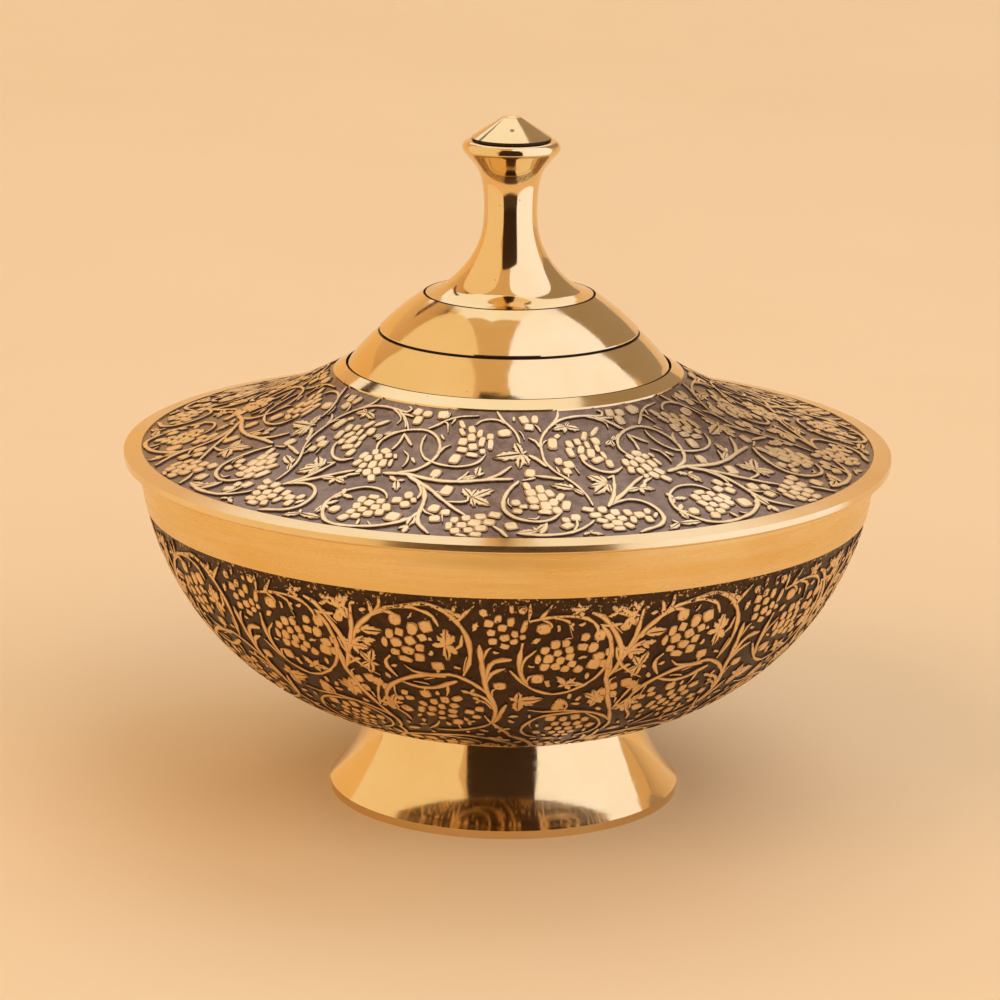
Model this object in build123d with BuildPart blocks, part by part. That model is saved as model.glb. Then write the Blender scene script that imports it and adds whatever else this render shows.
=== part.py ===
"""A brass sweet bowl with a lift-off lid, on a hollow flared foot.

Millimetres, +Z up, origin at the centre of the foot's resting ring.
The vessel is turned work: each piece is a half profile revolved about Z. Its outside outline is
drawn once, and the walls and the etched grounds are offsets of that outline.
"""

from build123d import *
import os

os.makedirs("parts", exist_ok=True)

# ------------------------------------------------------------------ driving sizes
# foot
foot_radius = 37.0
foot_band_height = 1.7  # short upright band at the base
foot_band_round = 0.7
foot_top_round = 0.5  # the edge that meets the bowl
foot_height = 17.4  # where the bowl sits
foot_top_radius = 28.5
foot_sag = 1.3  # hollow of the flank below its chord
foot_wall = 2.4

# bowl
bowl_rise = 54.95  # from its seat on the foot to its mouth
mouth_radius = 76.9
mouth_bore_depth = 7.5  # the straight bore that takes the lid's collar
mouth_bore_wall = 1.4  # left outside the foot of the bore
mouth_chamfer = 0.3
underside_slope = 13.4  # degrees, where the bowl leaves the foot
underside_radius = 95.0
underside_turn = 4.8  # degrees, before the rounder side begins
bowl_wall = 2.4
plain_band_height = 9.95  # below the mouth, above the etched field
field_start_rise = 0.4  # the etched field begins this far above the seat
relief_depth = 0.35  # the etched grounds lie this far below the plain metal

# lid brim
rim_overhang = 3.1  # beyond the bowl
rim_side_height = 1.75
rim_crown = 0.6  # rise from the rim's outer corner to the etched field
rim_nose_round = 1.2
rim_lower_round = 0.5
rim_band_width = 3.65  # plain, outside the etched field
brim_wall = 2.2
brim_rise = 15.6  # from the edge of the field to the plain ring
brim_sag = 1.75  # hollow of the brim below its chord
ring_width = 3.1  # plain ring between the field and the dome
ring_rise = 1.5

# lid dome
dome_radius = 33.4
dome_seat_depth = 1.3  # the shoulder sits this far below the ring's inner edge
dome_lower_rise = 6.65
dome_lower_width = 6.5  # the lower tier, from the dome's foot to its step
dome_step_overhang = 0.3
dome_step_rise = 0.75
dome_upper_rise = 7.4
dome_crown = 0.3  # how far each tier swells outside its chord
dome_wall = 2.4
dome_spigot_depth = 3.0
dome_ledge_width = 2.0
step_groove_width = 0.5
step_groove_depth = 0.8
joint_groove = 0.5  # line left open around the dome and around the finial

# finial, heights above its seat on the dome
finial_radius = 17.4
finial_seat_depth = 0.8
finial_edge_rise = 0.9
skirt_radius = 11.4
skirt_rise = 4.3
shank_radius = 6.7
shank_rise = 11.0
neck_radius = 5.5
neck_rise = 18.6
throat_radius = 6.7
throat_rise = 26.4
lip_radius = 10.1
lip_rise = 31.3
lip_round = 1.5
lip_start = -40  # degrees, where the flare meets the rounded lip
lip_turn = 110
tip_groove_radius = 7.9
tip_groove_width = 0.4
tip_groove_rise = 33.0
cone_radius = 8.3
cone_rise = 4.1
cone_flat_radius = 1.9
tip_mark_radius = 1.2  # the hollow left by the lathe's centre
tip_mark_depth = 0.7

# lid collar, which drops into the bowl's mouth
collar_clearance = 0.3
collar_wall = 1.6
collar_drop = 5.0
collar_socket_depth = 1.2
collar_lead = 0.6  # chamfer that guides the collar into the mouth

# fasteners
thread_clearance = 0.05
solder_clearance = 0.05
hole_clearance = 0.3
washer_thickness = 1.2
head_round = 0.8  # of a screw head's height
bolt_radius = 3.0
bolt_head_radius = 6.5
bolt_head_height = 3.4
bolt_end = 1.2  # thread showing past the nut
bowl_washer_radius = 8.5
foot_washer_radius = 9.0
nut_across_flats = 10.0
nut_height = 5.0
screw_radius = 2.5
screw_head_radius = 4.6
screw_head_height = 2.6
screw_reach = 10.0
screw_washer_radius = 7.0

# ------------------------------------------------------------------ places that follow
mouth_height = foot_height + bowl_rise
band_bottom_height = mouth_height - plain_band_height
field_bottom_height = foot_height + field_start_rise
rim_radius = mouth_radius + rim_overhang
rim_field_radius = rim_radius - rim_band_width
ring_radius = dome_radius + ring_width
rim_corner_height = mouth_height + rim_side_height
field_edge_height = rim_corner_height + rim_crown
ring_height = field_edge_height + brim_rise
dome_lip_height = ring_height + ring_rise
dome_seat = dome_lip_height - dome_seat_depth
spigot_radius = dome_radius - dome_ledge_width
dome_step_radius = dome_radius - dome_lower_width
dome_step_height = dome_lip_height + dome_lower_rise
dome_edge_height = dome_step_height + dome_step_rise
dome_top_height = dome_edge_height + dome_upper_rise
finial_seat = dome_top_height - finial_seat_depth
dome_ceiling = finial_seat - dome_wall
finial_land_radius = finial_radius + joint_groove
bowl_floor = foot_height + bowl_wall
foot_ceiling = foot_height - foot_wall
far = 4 * rim_radius  # larger than the whole object
near = 0.1  # corners this close to a height are the ones at that height

# ------------------------------------------------------------------ bowl
with BuildSketch(Plane.XZ) as bowl_outline:
    with BuildLine():
        Line((0, foot_height), (foot_top_radius, foot_height))
        underside = JernArc(
            start=(foot_top_radius, foot_height),
            tangent=Vector(1, 0).rotate(Axis.Z, underside_slope),
            radius=underside_radius,
            arc_size=underside_turn,
        )
        side = TangentArc(underside @ 1, (mouth_radius, mouth_height), tangent=underside % 1)
        Line((mouth_radius, mouth_height), (0, mouth_height))
        Line((0, mouth_height), (0, foot_height))
    make_face()
    mirror(about=Plane.YZ)

# the bore is as wide as the leaning wall allows at the bore's foot
bore_foot_height = mouth_height - mouth_bore_depth
bore_foot_lift = bore_foot_height - side.arc_center.Y
bore_foot_radius = side.arc_center.X + (side.radius**2 - bore_foot_lift**2) ** 0.5
mouth_bore_radius = bore_foot_radius - mouth_bore_wall
collar_radius = mouth_bore_radius - collar_clearance

field_height = band_bottom_height - field_bottom_height
field_middle = (band_bottom_height + field_bottom_height) / 2

with BuildSketch(Plane.XZ) as bowl_ground:
    add(bowl_outline.sketch)
    offset(amount=-relief_depth, kind=Kind.INTERSECTION)
    with Locations((0, field_middle)):
        Rectangle(far, field_height, mode=Mode.INTERSECT)

with BuildSketch(Plane.XZ) as bowl_inside:
    add(bowl_outline.sketch)
    offset(amount=-bowl_wall, kind=Kind.INTERSECTION)
    with Locations((0, mouth_height)):
        Rectangle(2 * mouth_bore_radius, 2 * mouth_bore_depth)

with BuildPart() as bowl:
    with BuildSketch(Plane.XZ):
        add(bowl_outline.sketch)
        with Locations((0, field_middle)):
            Rectangle(far, field_height, mode=Mode.SUBTRACT)
        add(bowl_ground.sketch)
        add(bowl_inside.sketch, mode=Mode.SUBTRACT)
        with Locations((bolt_radius + hole_clearance, 0)):
            Rectangle(far, far, align=(Align.MIN, Align.CENTER), mode=Mode.INTERSECT)
    revolve(axis=Axis.Z)
    mouth_edges = bowl.edges().group_by(Axis.Z)[-1]
    chamfer(mouth_edges, length=mouth_chamfer)

bowl.part.label = "bowl"
export_step(bowl.part, "parts/bowl.step")

# ------------------------------------------------------------------ foot
with BuildSketch(Plane.XZ) as foot_outline:
    with BuildLine():
        Line((0, foot_height), (foot_top_radius, foot_height))
        SagittaArc((foot_top_radius, foot_height), (foot_radius, foot_band_height), -foot_sag)
        Line((foot_radius, foot_band_height), (foot_radius, -far))
        Line((foot_radius, -far), (0, -far))
        Line((0, -far), (0, foot_height))
    make_face()
    mirror(about=Plane.YZ)
    band_corners = foot_outline.vertices().filter_by_position(
        Axis.Z, foot_band_height - near, foot_band_height + near
    )
    fillet(band_corners, radius=foot_band_round)

with BuildSketch(Plane.XZ) as foot_inside:
    add(foot_outline.sketch)
    offset(amount=-foot_wall, kind=Kind.INTERSECTION)

with BuildPart() as foot:
    with BuildSketch(Plane.XZ):
        add(foot_outline.sketch)
        add(foot_inside.sketch, mode=Mode.SUBTRACT)
        with Locations((bolt_radius + hole_clearance, 0)):
            Rectangle(far, far, align=(Align.MIN, Align.MIN), mode=Mode.INTERSECT)
    revolve(axis=Axis.Z)
    foot_top_edges = foot.edges().group_by(Axis.Z)[-1]
    fillet(foot_top_edges.sort_by(SortBy.RADIUS)[-1], radius=foot_top_round)

foot.part.label = "foot"
export_step(foot.part, "parts/foot.step")

# ------------------------------------------------------------------ lid brim
with BuildSketch(Plane.XZ) as brim_outline:
    with BuildLine():
        Line((0, dome_seat), (dome_radius + joint_groove, dome_seat))
        Line((dome_radius + joint_groove, dome_seat), (dome_radius + joint_groove, dome_lip_height))
        Line((dome_radius + joint_groove, dome_lip_height), (ring_radius, ring_height))
        SagittaArc((ring_radius, ring_height), (rim_field_radius, field_edge_height), -brim_sag)
        Line((rim_field_radius, field_edge_height), (rim_radius, rim_corner_height))
        Line((rim_radius, rim_corner_height), (rim_radius, -far))
        Line((rim_radius, -far), (0, -far))
        Line((0, -far), (0, dome_seat))
    make_face()
    mirror(about=Plane.YZ)
    nose_corners = brim_outline.vertices().filter_by_position(
        Axis.Z, rim_corner_height - near, rim_corner_height + near
    )
    fillet(nose_corners, radius=rim_nose_round)

with BuildSketch(Plane.XZ) as brim_ground:
    add(brim_outline.sketch)
    offset(amount=-relief_depth, kind=Kind.INTERSECTION)
    with Locations(((ring_radius + rim_field_radius) / 2, 0)):
        Rectangle(rim_field_radius - ring_radius, far, mode=Mode.INTERSECT)

with BuildSketch(Plane.XZ) as brim_inside:
    add(brim_outline.sketch)
    offset(amount=-brim_wall, kind=Kind.INTERSECTION)
    Rectangle(2 * (collar_radius + solder_clearance), far, mode=Mode.INTERSECT)
    with Locations((0, mouth_height + collar_socket_depth)):
        Rectangle(2 * (collar_radius + solder_clearance), far, align=(Align.CENTER, Align.MAX))

with BuildPart() as lid_brim:
    with BuildSketch(Plane.XZ):
        add(brim_outline.sketch)
        with Locations(((ring_radius + rim_field_radius) / 2, 0)):
            Rectangle(rim_field_radius - ring_radius, far, mode=Mode.SUBTRACT)
        add(brim_ground.sketch)
        add(brim_inside.sketch, mode=Mode.SUBTRACT)
        with Locations((spigot_radius, mouth_height)):
            Rectangle(far, far, align=(Align.MIN, Align.MIN), mode=Mode.INTERSECT)
    revolve(axis=Axis.Z)
    seat_edges = lid_brim.edges().group_by(Axis.Z)[0]
    fillet(seat_edges.sort_by(SortBy.RADIUS)[-1], radius=rim_lower_round)

lid_brim.part.label = "lid_brim"
export_step(lid_brim.part, "parts/lid_brim.step")

# ------------------------------------------------------------------ lid collar
with BuildPart() as lid_collar:
    with Locations((0, 0, mouth_height - collar_drop)):
        Cylinder(
            radius=collar_radius,
            height=collar_drop + collar_socket_depth,
            align=(Align.CENTER, Align.CENTER, Align.MIN),
        )
    Hole(radius=collar_radius - collar_wall)
    chamfer(lid_collar.edges().group_by(Axis.Z)[0].sort_by(SortBy.RADIUS)[-1], length=collar_lead)

lid_collar.part.label = "lid_collar"
export_step(lid_collar.part, "parts/lid_collar.step")

# ------------------------------------------------------------------ lid dome
with BuildSketch(Plane.XZ) as dome_outline:
    with BuildLine():
        Line((0, finial_seat), (finial_land_radius, finial_seat))
        Line((finial_land_radius, finial_seat), (finial_land_radius, dome_top_height))
        SagittaArc(
            (finial_land_radius, dome_top_height), (dome_step_radius, dome_edge_height), dome_crown
        )
        Line((dome_step_radius, dome_edge_height), (dome_step_radius, dome_step_height))
        Line((dome_step_radius, dome_step_height), (dome_step_radius + dome_step_overhang, dome_step_height))
        SagittaArc(
            (dome_step_radius + dome_step_overhang, dome_step_height),
            (dome_radius, dome_lip_height),
            dome_crown,
        )
        Line((dome_radius, dome_lip_height), (dome_radius, dome_seat))
        Line((dome_radius, dome_seat), (spigot_radius - solder_clearance, dome_seat))
        Line((spigot_radius - solder_clearance, dome_seat), (spigot_radius - solder_clearance, -far))
        Line((spigot_radius - solder_clearance, -far), (0, -far))
        Line((0, -far), (0, finial_seat))
    make_face()

# both tiers slope at about 45 degrees, so equal steps in and down give the wall its thickness
wall_step = dome_wall / 2**0.5

with BuildSketch(Plane.XZ) as dome_inside:
    with BuildLine():
        Polyline(
            (0, -far),
            (0, dome_top_height - wall_step),
            (finial_land_radius - wall_step, dome_top_height - wall_step),
            (dome_step_radius - wall_step, dome_edge_height - wall_step),
            (dome_step_radius + dome_step_overhang - wall_step, dome_step_height - wall_step),
            (dome_radius - wall_step, dome_lip_height - wall_step),
            (dome_radius - wall_step, -far),
            close=True,
        )
    make_face()
    with Locations((0, dome_ceiling)):
        Rectangle(
            2 * (spigot_radius - dome_wall), far, align=(Align.CENTER, Align.MAX), mode=Mode.INTERSECT
        )

with BuildPart() as lid_dome:
    with BuildSketch(Plane.XZ):
        add(dome_outline.sketch)
        add(dome_inside.sketch, mode=Mode.SUBTRACT)
        with Locations((dome_step_radius, dome_step_height)):
            Rectangle(
                2 * step_groove_depth, step_groove_width, align=(Align.CENTER, Align.MIN), mode=Mode.SUBTRACT
            )
        with Locations((screw_radius + hole_clearance, dome_seat - dome_spigot_depth)):
            Rectangle(far, far, align=(Align.MIN, Align.MIN), mode=Mode.INTERSECT)
    revolve(axis=Axis.Z)

lid_dome.part.label = "lid_dome"
export_step(lid_dome.part, "parts/lid_dome.step")

# ------------------------------------------------------------------ finial
tip_height = finial_seat + tip_groove_rise + tip_groove_width + cone_rise

with BuildPart() as finial:
    with BuildSketch(Plane.XZ):
        with BuildLine():
            lip = CenterArc(
                (lip_radius - lip_round, finial_seat + lip_rise),
                lip_round,
                start_angle=lip_start,
                arc_size=lip_turn,
            )
            Line((0, finial_seat), (finial_radius, finial_seat))
            Line((finial_radius, finial_seat), (finial_radius, finial_seat + finial_edge_rise))
            Spline(
                (finial_radius, finial_seat + finial_edge_rise),
                (skirt_radius, finial_seat + skirt_rise),
                (shank_radius, finial_seat + shank_rise),
                (neck_radius, finial_seat + neck_rise),
                (throat_radius, finial_seat + throat_rise),
                lip @ 0,
                tangents=((-1, 0.2), lip % 0),
            )
            Polyline(
                lip @ 1,
                (tip_groove_radius, finial_seat + tip_groove_rise),
                (tip_groove_radius, finial_seat + tip_groove_rise + tip_groove_width),
                (cone_radius, finial_seat + tip_groove_rise + tip_groove_width),
                (cone_flat_radius, tip_height),
                (tip_mark_radius, tip_height),
                (0, tip_height - tip_mark_depth),
                (0, finial_seat),
            )
        make_face()
    revolve(axis=Axis.Z)
    with Locations((0, 0, finial_seat)):
        Cylinder(
            radius=screw_radius + thread_clearance,
            height=screw_reach + washer_thickness,
            align=(Align.CENTER, Align.CENTER, Align.MIN),
            mode=Mode.SUBTRACT,
        )

finial.part.label = "finial"
export_step(finial.part, "parts/finial.step")

# ------------------------------------------------------------------ finial screw and washer
with BuildPart() as finial_washer:
    with Locations((0, 0, dome_ceiling - washer_thickness)):
        Cylinder(
            radius=screw_washer_radius,
            height=washer_thickness,
            align=(Align.CENTER, Align.CENTER, Align.MIN),
        )
        Hole(radius=screw_radius + hole_clearance)

finial_washer.part.label = "finial_washer"
export_step(finial_washer.part, "parts/finial_washer.step")

screw_head_seat = dome_ceiling - washer_thickness

with BuildPart() as finial_screw:
    with Locations((0, 0, screw_head_seat)):
        Cylinder(
            radius=screw_head_radius,
            height=screw_head_height,
            align=(Align.CENTER, Align.CENTER, Align.MAX),
        )
        Cylinder(
            radius=screw_radius,
            height=finial_seat + screw_reach - screw_head_seat,
            align=(Align.CENTER, Align.CENTER, Align.MIN),
        )
    fillet(finial_screw.edges().group_by(Axis.Z)[0], radius=head_round * screw_head_height)

finial_screw.part.label = "finial_screw"
export_step(finial_screw.part, "parts/finial_screw.step")

# ------------------------------------------------------------------ foot fixing
bolt_head_seat = bowl_floor + washer_thickness
nut_top = foot_ceiling - washer_thickness
bolt_tip = nut_top - nut_height - bolt_end

with BuildPart() as bowl_washer:
    with Locations((0, 0, bowl_floor)):
        Cylinder(
            radius=bowl_washer_radius,
            height=washer_thickness,
            align=(Align.CENTER, Align.CENTER, Align.MIN),
        )
        Hole(radius=bolt_radius + hole_clearance)

bowl_washer.part.label = "bowl_washer"
export_step(bowl_washer.part, "parts/bowl_washer.step")

with BuildPart() as foot_bolt:
    with Locations((0, 0, bolt_head_seat)):
        Cylinder(
            radius=bolt_head_radius,
            height=bolt_head_height,
            align=(Align.CENTER, Align.CENTER, Align.MIN),
        )
        Cylinder(
            radius=bolt_radius,
            height=bolt_head_seat - bolt_tip,
            align=(Align.CENTER, Align.CENTER, Align.MAX),
        )
    fillet(foot_bolt.edges().group_by(Axis.Z)[-1], radius=head_round * bolt_head_height)

foot_bolt.part.label = "foot_bolt"
export_step(foot_bolt.part, "parts/foot_bolt.step")

with BuildPart() as foot_washer:
    with Locations((0, 0, foot_ceiling - washer_thickness)):
        Cylinder(
            radius=foot_washer_radius,
            height=washer_thickness,
            align=(Align.CENTER, Align.CENTER, Align.MIN),
        )
        Hole(radius=bolt_radius + hole_clearance)

foot_washer.part.label = "foot_washer"
export_step(foot_washer.part, "parts/foot_washer.step")

with BuildPart() as foot_nut:
    with BuildSketch(Plane.XY.offset(nut_top - nut_height)):
        RegularPolygon(radius=nut_across_flats / 2, side_count=6, major_radius=False)
    extrude(amount=nut_height)
    Hole(radius=bolt_radius + thread_clearance)

foot_nut.part.label = "foot_nut"
export_step(foot_nut.part, "parts/foot_nut.step")
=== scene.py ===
"""Looks of the brass sweet bowl: etched vine scroll, polished and satin brass, studio and camera."""

import math
from itertools import accumulate

import bpy
import numpy as np
from mathutils import Matrix, Vector


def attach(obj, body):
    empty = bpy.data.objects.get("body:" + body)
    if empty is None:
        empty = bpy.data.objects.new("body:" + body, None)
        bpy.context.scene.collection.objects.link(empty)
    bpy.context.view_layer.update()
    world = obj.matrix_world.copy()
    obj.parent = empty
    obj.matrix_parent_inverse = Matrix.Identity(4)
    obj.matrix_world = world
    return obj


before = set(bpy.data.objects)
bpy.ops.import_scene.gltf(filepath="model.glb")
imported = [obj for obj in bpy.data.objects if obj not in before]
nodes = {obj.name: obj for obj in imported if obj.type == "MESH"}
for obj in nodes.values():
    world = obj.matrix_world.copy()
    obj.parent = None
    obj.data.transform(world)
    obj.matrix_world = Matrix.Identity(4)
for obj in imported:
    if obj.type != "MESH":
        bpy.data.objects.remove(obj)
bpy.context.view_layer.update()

MM = 0.001

# -------- sizes shared with the CAD, in mm
FIELD_TOP = 62.4
FIELD_BOTTOM = 17.8
RING_RADIUS = 36.5
RING_HEIGHT = 90.3
RIM_FIELD_RADIUS = 76.35
SEAT_RADIUS = 33.9  # where the brim takes the dome
SPIGOT_RADIUS = 31.4
DOME_LIP = 91.8
STEP_RADIUS = 26.9
STEP_HEIGHT = 98.45
FINIAL_RADIUS = 17.4
FINIAL_SEAT = 105.8
TIP_GROOVE = FINIAL_SEAT + 33.0
# the dark joints: from radius, to radius, from height, to height
STEP_JOINT = (STEP_RADIUS - 1.2, STEP_RADIUS + 0.29, STEP_HEIGHT - 0.08, STEP_HEIGHT + 0.52)
FINIAL_JOINT = (FINIAL_RADIUS - 0.2, FINIAL_RADIUS + 0.6, FINIAL_SEAT - 0.1, FINIAL_SEAT + 0.75)
TIP_JOINT = (0, 8.6, TIP_GROOVE - 0.05, TIP_GROOVE + 0.45)
SEAT_JOINT = (0, SEAT_RADIUS + 0.6, 0, RING_HEIGHT + 1.4)
FINIAL_EDGE = (FINIAL_RADIUS - 0.3, FINIAL_RADIUS + 0.1, 0, FINIAL_SEAT + 0.8)
HIDDEN_RADIUS = 20  # the foot covers the bowl within this
# rises of a face's normal
FACING_UP = 0.2
UPRIGHT = 0.5
STANDING = -0.9  # the vessel stands on what is below this


# -------- helpers
def inside(box, x, y):
    return box[0] <= x <= box[1] and box[2] <= y <= box[3]


def add_object(name, data):
    obj = bpy.data.objects.new(name, data)
    bpy.context.scene.collection.objects.link(obj)
    return obj


def add_mesh(name, vertices, faces, *materials):
    mesh = bpy.data.meshes.new(name)
    mesh.from_pydata(vertices, [], faces)
    for material in materials:
        mesh.materials.append(material)
    return add_object(name, mesh)


def set_values(node, values):
    for socket, value in values.items():
        node.inputs[socket].default_value = value


def new_material(name, values):
    """A material, its node tree and its shader, with constant values set on the shader."""
    material = bpy.data.materials.new(name)
    material.use_nodes = True
    shader = material.node_tree.nodes["Principled BSDF"]
    set_values(shader, values)
    return material, material.node_tree, shader


def add_node(tree, kind, values, links):
    """A node with constant values and incoming links, both by the name or number of the socket."""
    node = tree.nodes.new("ShaderNode" + kind)
    set_values(node, values)
    for socket, output in links.items():
        tree.links.new(output, node.inputs[socket])
    return node


def object_place(tree):
    return add_node(tree, "TexCoord", {}, {}).outputs["Object"]


def add_noise(tree, scale, detail=4.0, roughness=0.55, stretch=(1, 1, 1)):
    """A noise texture in object coordinates; returns its Fac output."""
    spread = add_node(tree, "Mapping", {"Scale": stretch}, {"Vector": object_place(tree)})
    values = {"Scale": scale, "Detail": detail, "Roughness": roughness}
    return add_node(tree, "TexNoise", values, {"Vector": spread.outputs["Vector"]}).outputs["Fac"]


def remap(tree, value, old, new):
    """Turns the range old into the range new, and holds it there."""
    limits = {"From Min": old[0], "From Max": old[1], "To Min": new[0], "To Max": new[1]}
    return add_node(tree, "MapRange", limits, {"Value": value}).outputs["Result"]


def add_height(tree, low, high, top):
    """Rises from 0 at one height of the vessel to top at another, in mm."""
    split = add_node(tree, "SeparateXYZ", {}, {"Vector": object_place(tree)})
    return remap(tree, split.outputs["Z"], (low * MM, high * MM), (0, top))


def add_values(tree, first, second):
    node = add_node(tree, "Math", {}, {0: first, 1: second})
    node.operation = "ADD"
    return node.outputs["Value"]


def mix_colour(tree, factor, first, second):
    """The first colour where the factor is 0, the second where it is 1; each is fixed or an output."""
    node = add_node(tree, "Mix", {}, {"Factor": factor})
    node.data_type = "RGBA"
    for socket, colour in (("A", first), ("B", second)):
        target = [s for s in node.inputs if s.name == socket and s.type == "RGBA"][0]
        if isinstance(colour, tuple):
            target.default_value = (*colour, 1.0)
        else:
            tree.links.new(colour, target)
    return [s for s in node.outputs if s.type == "RGBA"][0]


def add_bump(tree, shader, height, strength, distance):
    bump = add_node(tree, "Bump", {"Strength": strength, "Distance": distance}, {"Height": height})
    tree.links.new(bump.outputs["Normal"], shader.inputs["Normal"])


# -------- materials
BRASS = (0.86, 0.66, 0.36)
BRASS_DEEP = (0.82, 0.58, 0.27)
SMEAR = (0.95, 0.76, 0.48)  # what the brush leaves on satin brass
BITTEN = (0.05, 0.03, 0.016)  # specks that the acid reached
SPARED = (0.62, 0.38, 0.15)  # specks that it didn't
DIRT = (0.30, 0.15, 0.05)
PORE_COLOUR = (0.34, 0.20, 0.10)
MARK_DEPTH = 0.00005  # metres
LUMP_DEPTH = 0.00018
WORN_FROM = 55.5  # mm up the vessel


def worn_edge(tree, amount, start):
    """Specks, thick under the plain band, where the resist broke down before the etching."""
    specks = add_noise(tree, 1300, 4, 0.6)
    thicker = add_values(tree, specks, add_height(tree, WORN_FROM, FIELD_TOP, amount))
    return remap(tree, thicker, (start, start + 0.02), (0, 1))


def spot_mask(tree, place, radius):
    """1 at a place on the vessel, in mm, and 0 beyond the radius."""
    middle = [value * MM for value in place]
    distance = add_node(tree, "VectorMath", {1: middle}, {0: object_place(tree)})
    distance.operation = "DISTANCE"
    return remap(tree, distance.outputs["Value"], (0.6 * radius * MM, radius * MM), (1, 0))


def brass(
    name, pale, deep, rough, grain, cloud=45, marks=0.0, streaks=0.0, worn=False, dents=0.0, pore=None
):
    """Metal with cloudy tone, uneven gloss and the fine lines that lathe and buffing wheel leave."""
    material, tree, shader = new_material(name, {"Metallic": 1.0})
    clouds = add_noise(tree, cloud, 5)
    lines = add_noise(tree, grain, 3, 0.6, stretch=(0.035, 0.035, 1))
    colour = mix_colour(tree, remap(tree, clouds, (0.3, 0.7), (0, 1)), pale, deep)
    if streaks:
        smears = add_noise(tree, 260, 5, 0.7, stretch=(0.12, 0.12, 1))
        colour = mix_colour(tree, remap(tree, smears, (0.45, 0.75), (0, streaks)), colour, SMEAR)
    if worn:
        colour = mix_colour(tree, worn_edge(tree, 0.20, 0.66), colour, BITTEN)
    if dents:
        dirt = remap(tree, add_noise(tree, 750, 3, 0.6), (0.72, 0.76), (0, 0.55))
        colour = mix_colour(tree, dirt, colour, DIRT)
    if pore:
        colour = mix_colour(tree, spot_mask(tree, *pore), colour, PORE_COLOUR)
    tree.links.new(colour, shader.inputs["Base Color"])
    tree.links.new(remap(tree, lines, (0.3, 0.75), rough), shader.inputs["Roughness"])
    if marks:
        height = lines
        if dents:
            waves = remap(tree, add_noise(tree, 110, 2, 0.5), (0, 1), (0, dents))
            height = add_values(tree, lines, waves)
        add_bump(tree, shader, height, marks, MARK_DEPTH)
    return material


def etched_ground(name, dark, pale, metal, gloss, lumps, lump_scale, worn=False):
    """Etched metal under a dark patina: lumpy, with a dull sheen."""
    material, tree, shader = new_material(name, {"Metallic": metal})
    grain = add_noise(tree, lump_scale, 5, 0.6)
    stain = add_noise(tree, 70, 4, 0.6)
    toned = mix_colour(tree, remap(tree, grain, (0.35, 0.7), (0, 1)), dark, pale)
    colour = mix_colour(tree, remap(tree, stain, (0.35, 0.7), (0, 0.5)), toned, dark)
    if worn:
        colour = mix_colour(tree, worn_edge(tree, 0.11, 0.70), colour, SPARED)
    tree.links.new(colour, shader.inputs["Base Color"])
    tree.links.new(remap(tree, grain, (0.3, 0.7), gloss), shader.inputs["Roughness"])
    add_bump(tree, shader, grain, lumps, LUMP_DEPTH)
    return material


BUFFED = {"pale": BRASS, "deep": BRASS_DEEP, "grain": 900, "marks": 0.05, "dents": 16}
MIRROR = (0.05, 0.13)  # roughness
POLISHED = brass("polished_brass", rough=MIRROR, **BUFFED)
PORE = ((0.1, -5.0, TIP_GROOVE + 2.5), 0.6)  # a casting flaw on the front of the knob's cap
KNOB = brass("polished_knob", rough=MIRROR, pore=PORE, **BUFFED)
SATIN = brass(
    "satin_brass", (0.88, 0.65, 0.28), (0.82, 0.55, 0.20), (0.20, 0.40), 700, 30, marks=0.2, streaks=0.5
)
LID_RAISED = brass("lid_raised_brass", (0.95, 0.76, 0.46), (0.90, 0.66, 0.34), (0.22, 0.36), 500, 160)
BOWL_RAISED = brass(
    "bowl_raised_brass", (0.93, 0.68, 0.38), (0.82, 0.55, 0.25), (0.36, 0.50), 500, 160, worn=True
)
# the shoulders of the raised parts, in brown brass: painted shade that draws a dark outline round each
# raised part
LID_SHOULDER_SHADE = brass("lid_shoulder_painted_shade", (0.62, 0.40, 0.20), (0.44, 0.26, 0.12), (0.34, 0.48), 500, 300)
BOWL_SHOULDER_SHADE = brass("bowl_shoulder_painted_shade", (0.66, 0.41, 0.18), (0.42, 0.24, 0.09), (0.40, 0.54), 500, 300)
RIM = brass("rim_brass", rough=(0.14, 0.22), **BUFFED)
LID_GROUND = etched_ground(
    "lid_ground", (0.16, 0.10, 0.068), (0.33, 0.225, 0.165), 0.8, (0.20, 0.34), 0.5, 420
)
BOWL_GROUND = etched_ground(
    "bowl_ground", (0.036, 0.017, 0.0065), (0.085, 0.042, 0.015), 0.7, (0.3, 0.5), 0.5, 600, worn=True
)
# the dark patina of joints and grooves; on the relief's sides it also paints the shade at their foot
GROOVE = etched_ground(
    "groove_patina", (0.045, 0.022, 0.012), (0.09, 0.05, 0.028), 0.3, (0.5, 0.7), 0.2, 500
)
FIXING = brass("turned_brass", (0.80, 0.58, 0.28), (0.74, 0.50, 0.20), (0.16, 0.30), 1500, marks=0.3)


def paint(name, materials, choose):
    """Gives a CAD node its materials; choose() picks one by a face's radius, height, rise and side."""
    node = nodes[name]
    node.data.materials.clear()
    for material in materials:
        node.data.materials.append(material)
    for face in node.data.polygons:
        x, y, z = face.center
        outward = face.normal.x * x + face.normal.y * y > 0
        chosen = choose(math.hypot(x, y) / MM, z / MM, face.normal.z, outward)
        face.material_index = materials.index(chosen)


def bowl_face(radius, height, rise, outward):
    if not outward or rise > FACING_UP or radius < HIDDEN_RADIUS:
        return SATIN
    if FIELD_BOTTOM < height < FIELD_TOP:
        return BOWL_GROUND
    return SATIN if height > FIELD_TOP else POLISHED


def brim_face(radius, height, rise, _):
    if RING_RADIUS < radius < RIM_FIELD_RADIUS and rise > FACING_UP:
        return LID_GROUND
    if inside(SEAT_JOINT, radius, height):
        return GROOVE
    if radius > RIM_FIELD_RADIUS:
        return RIM
    return POLISHED if rise > -FACING_UP else SATIN


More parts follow.
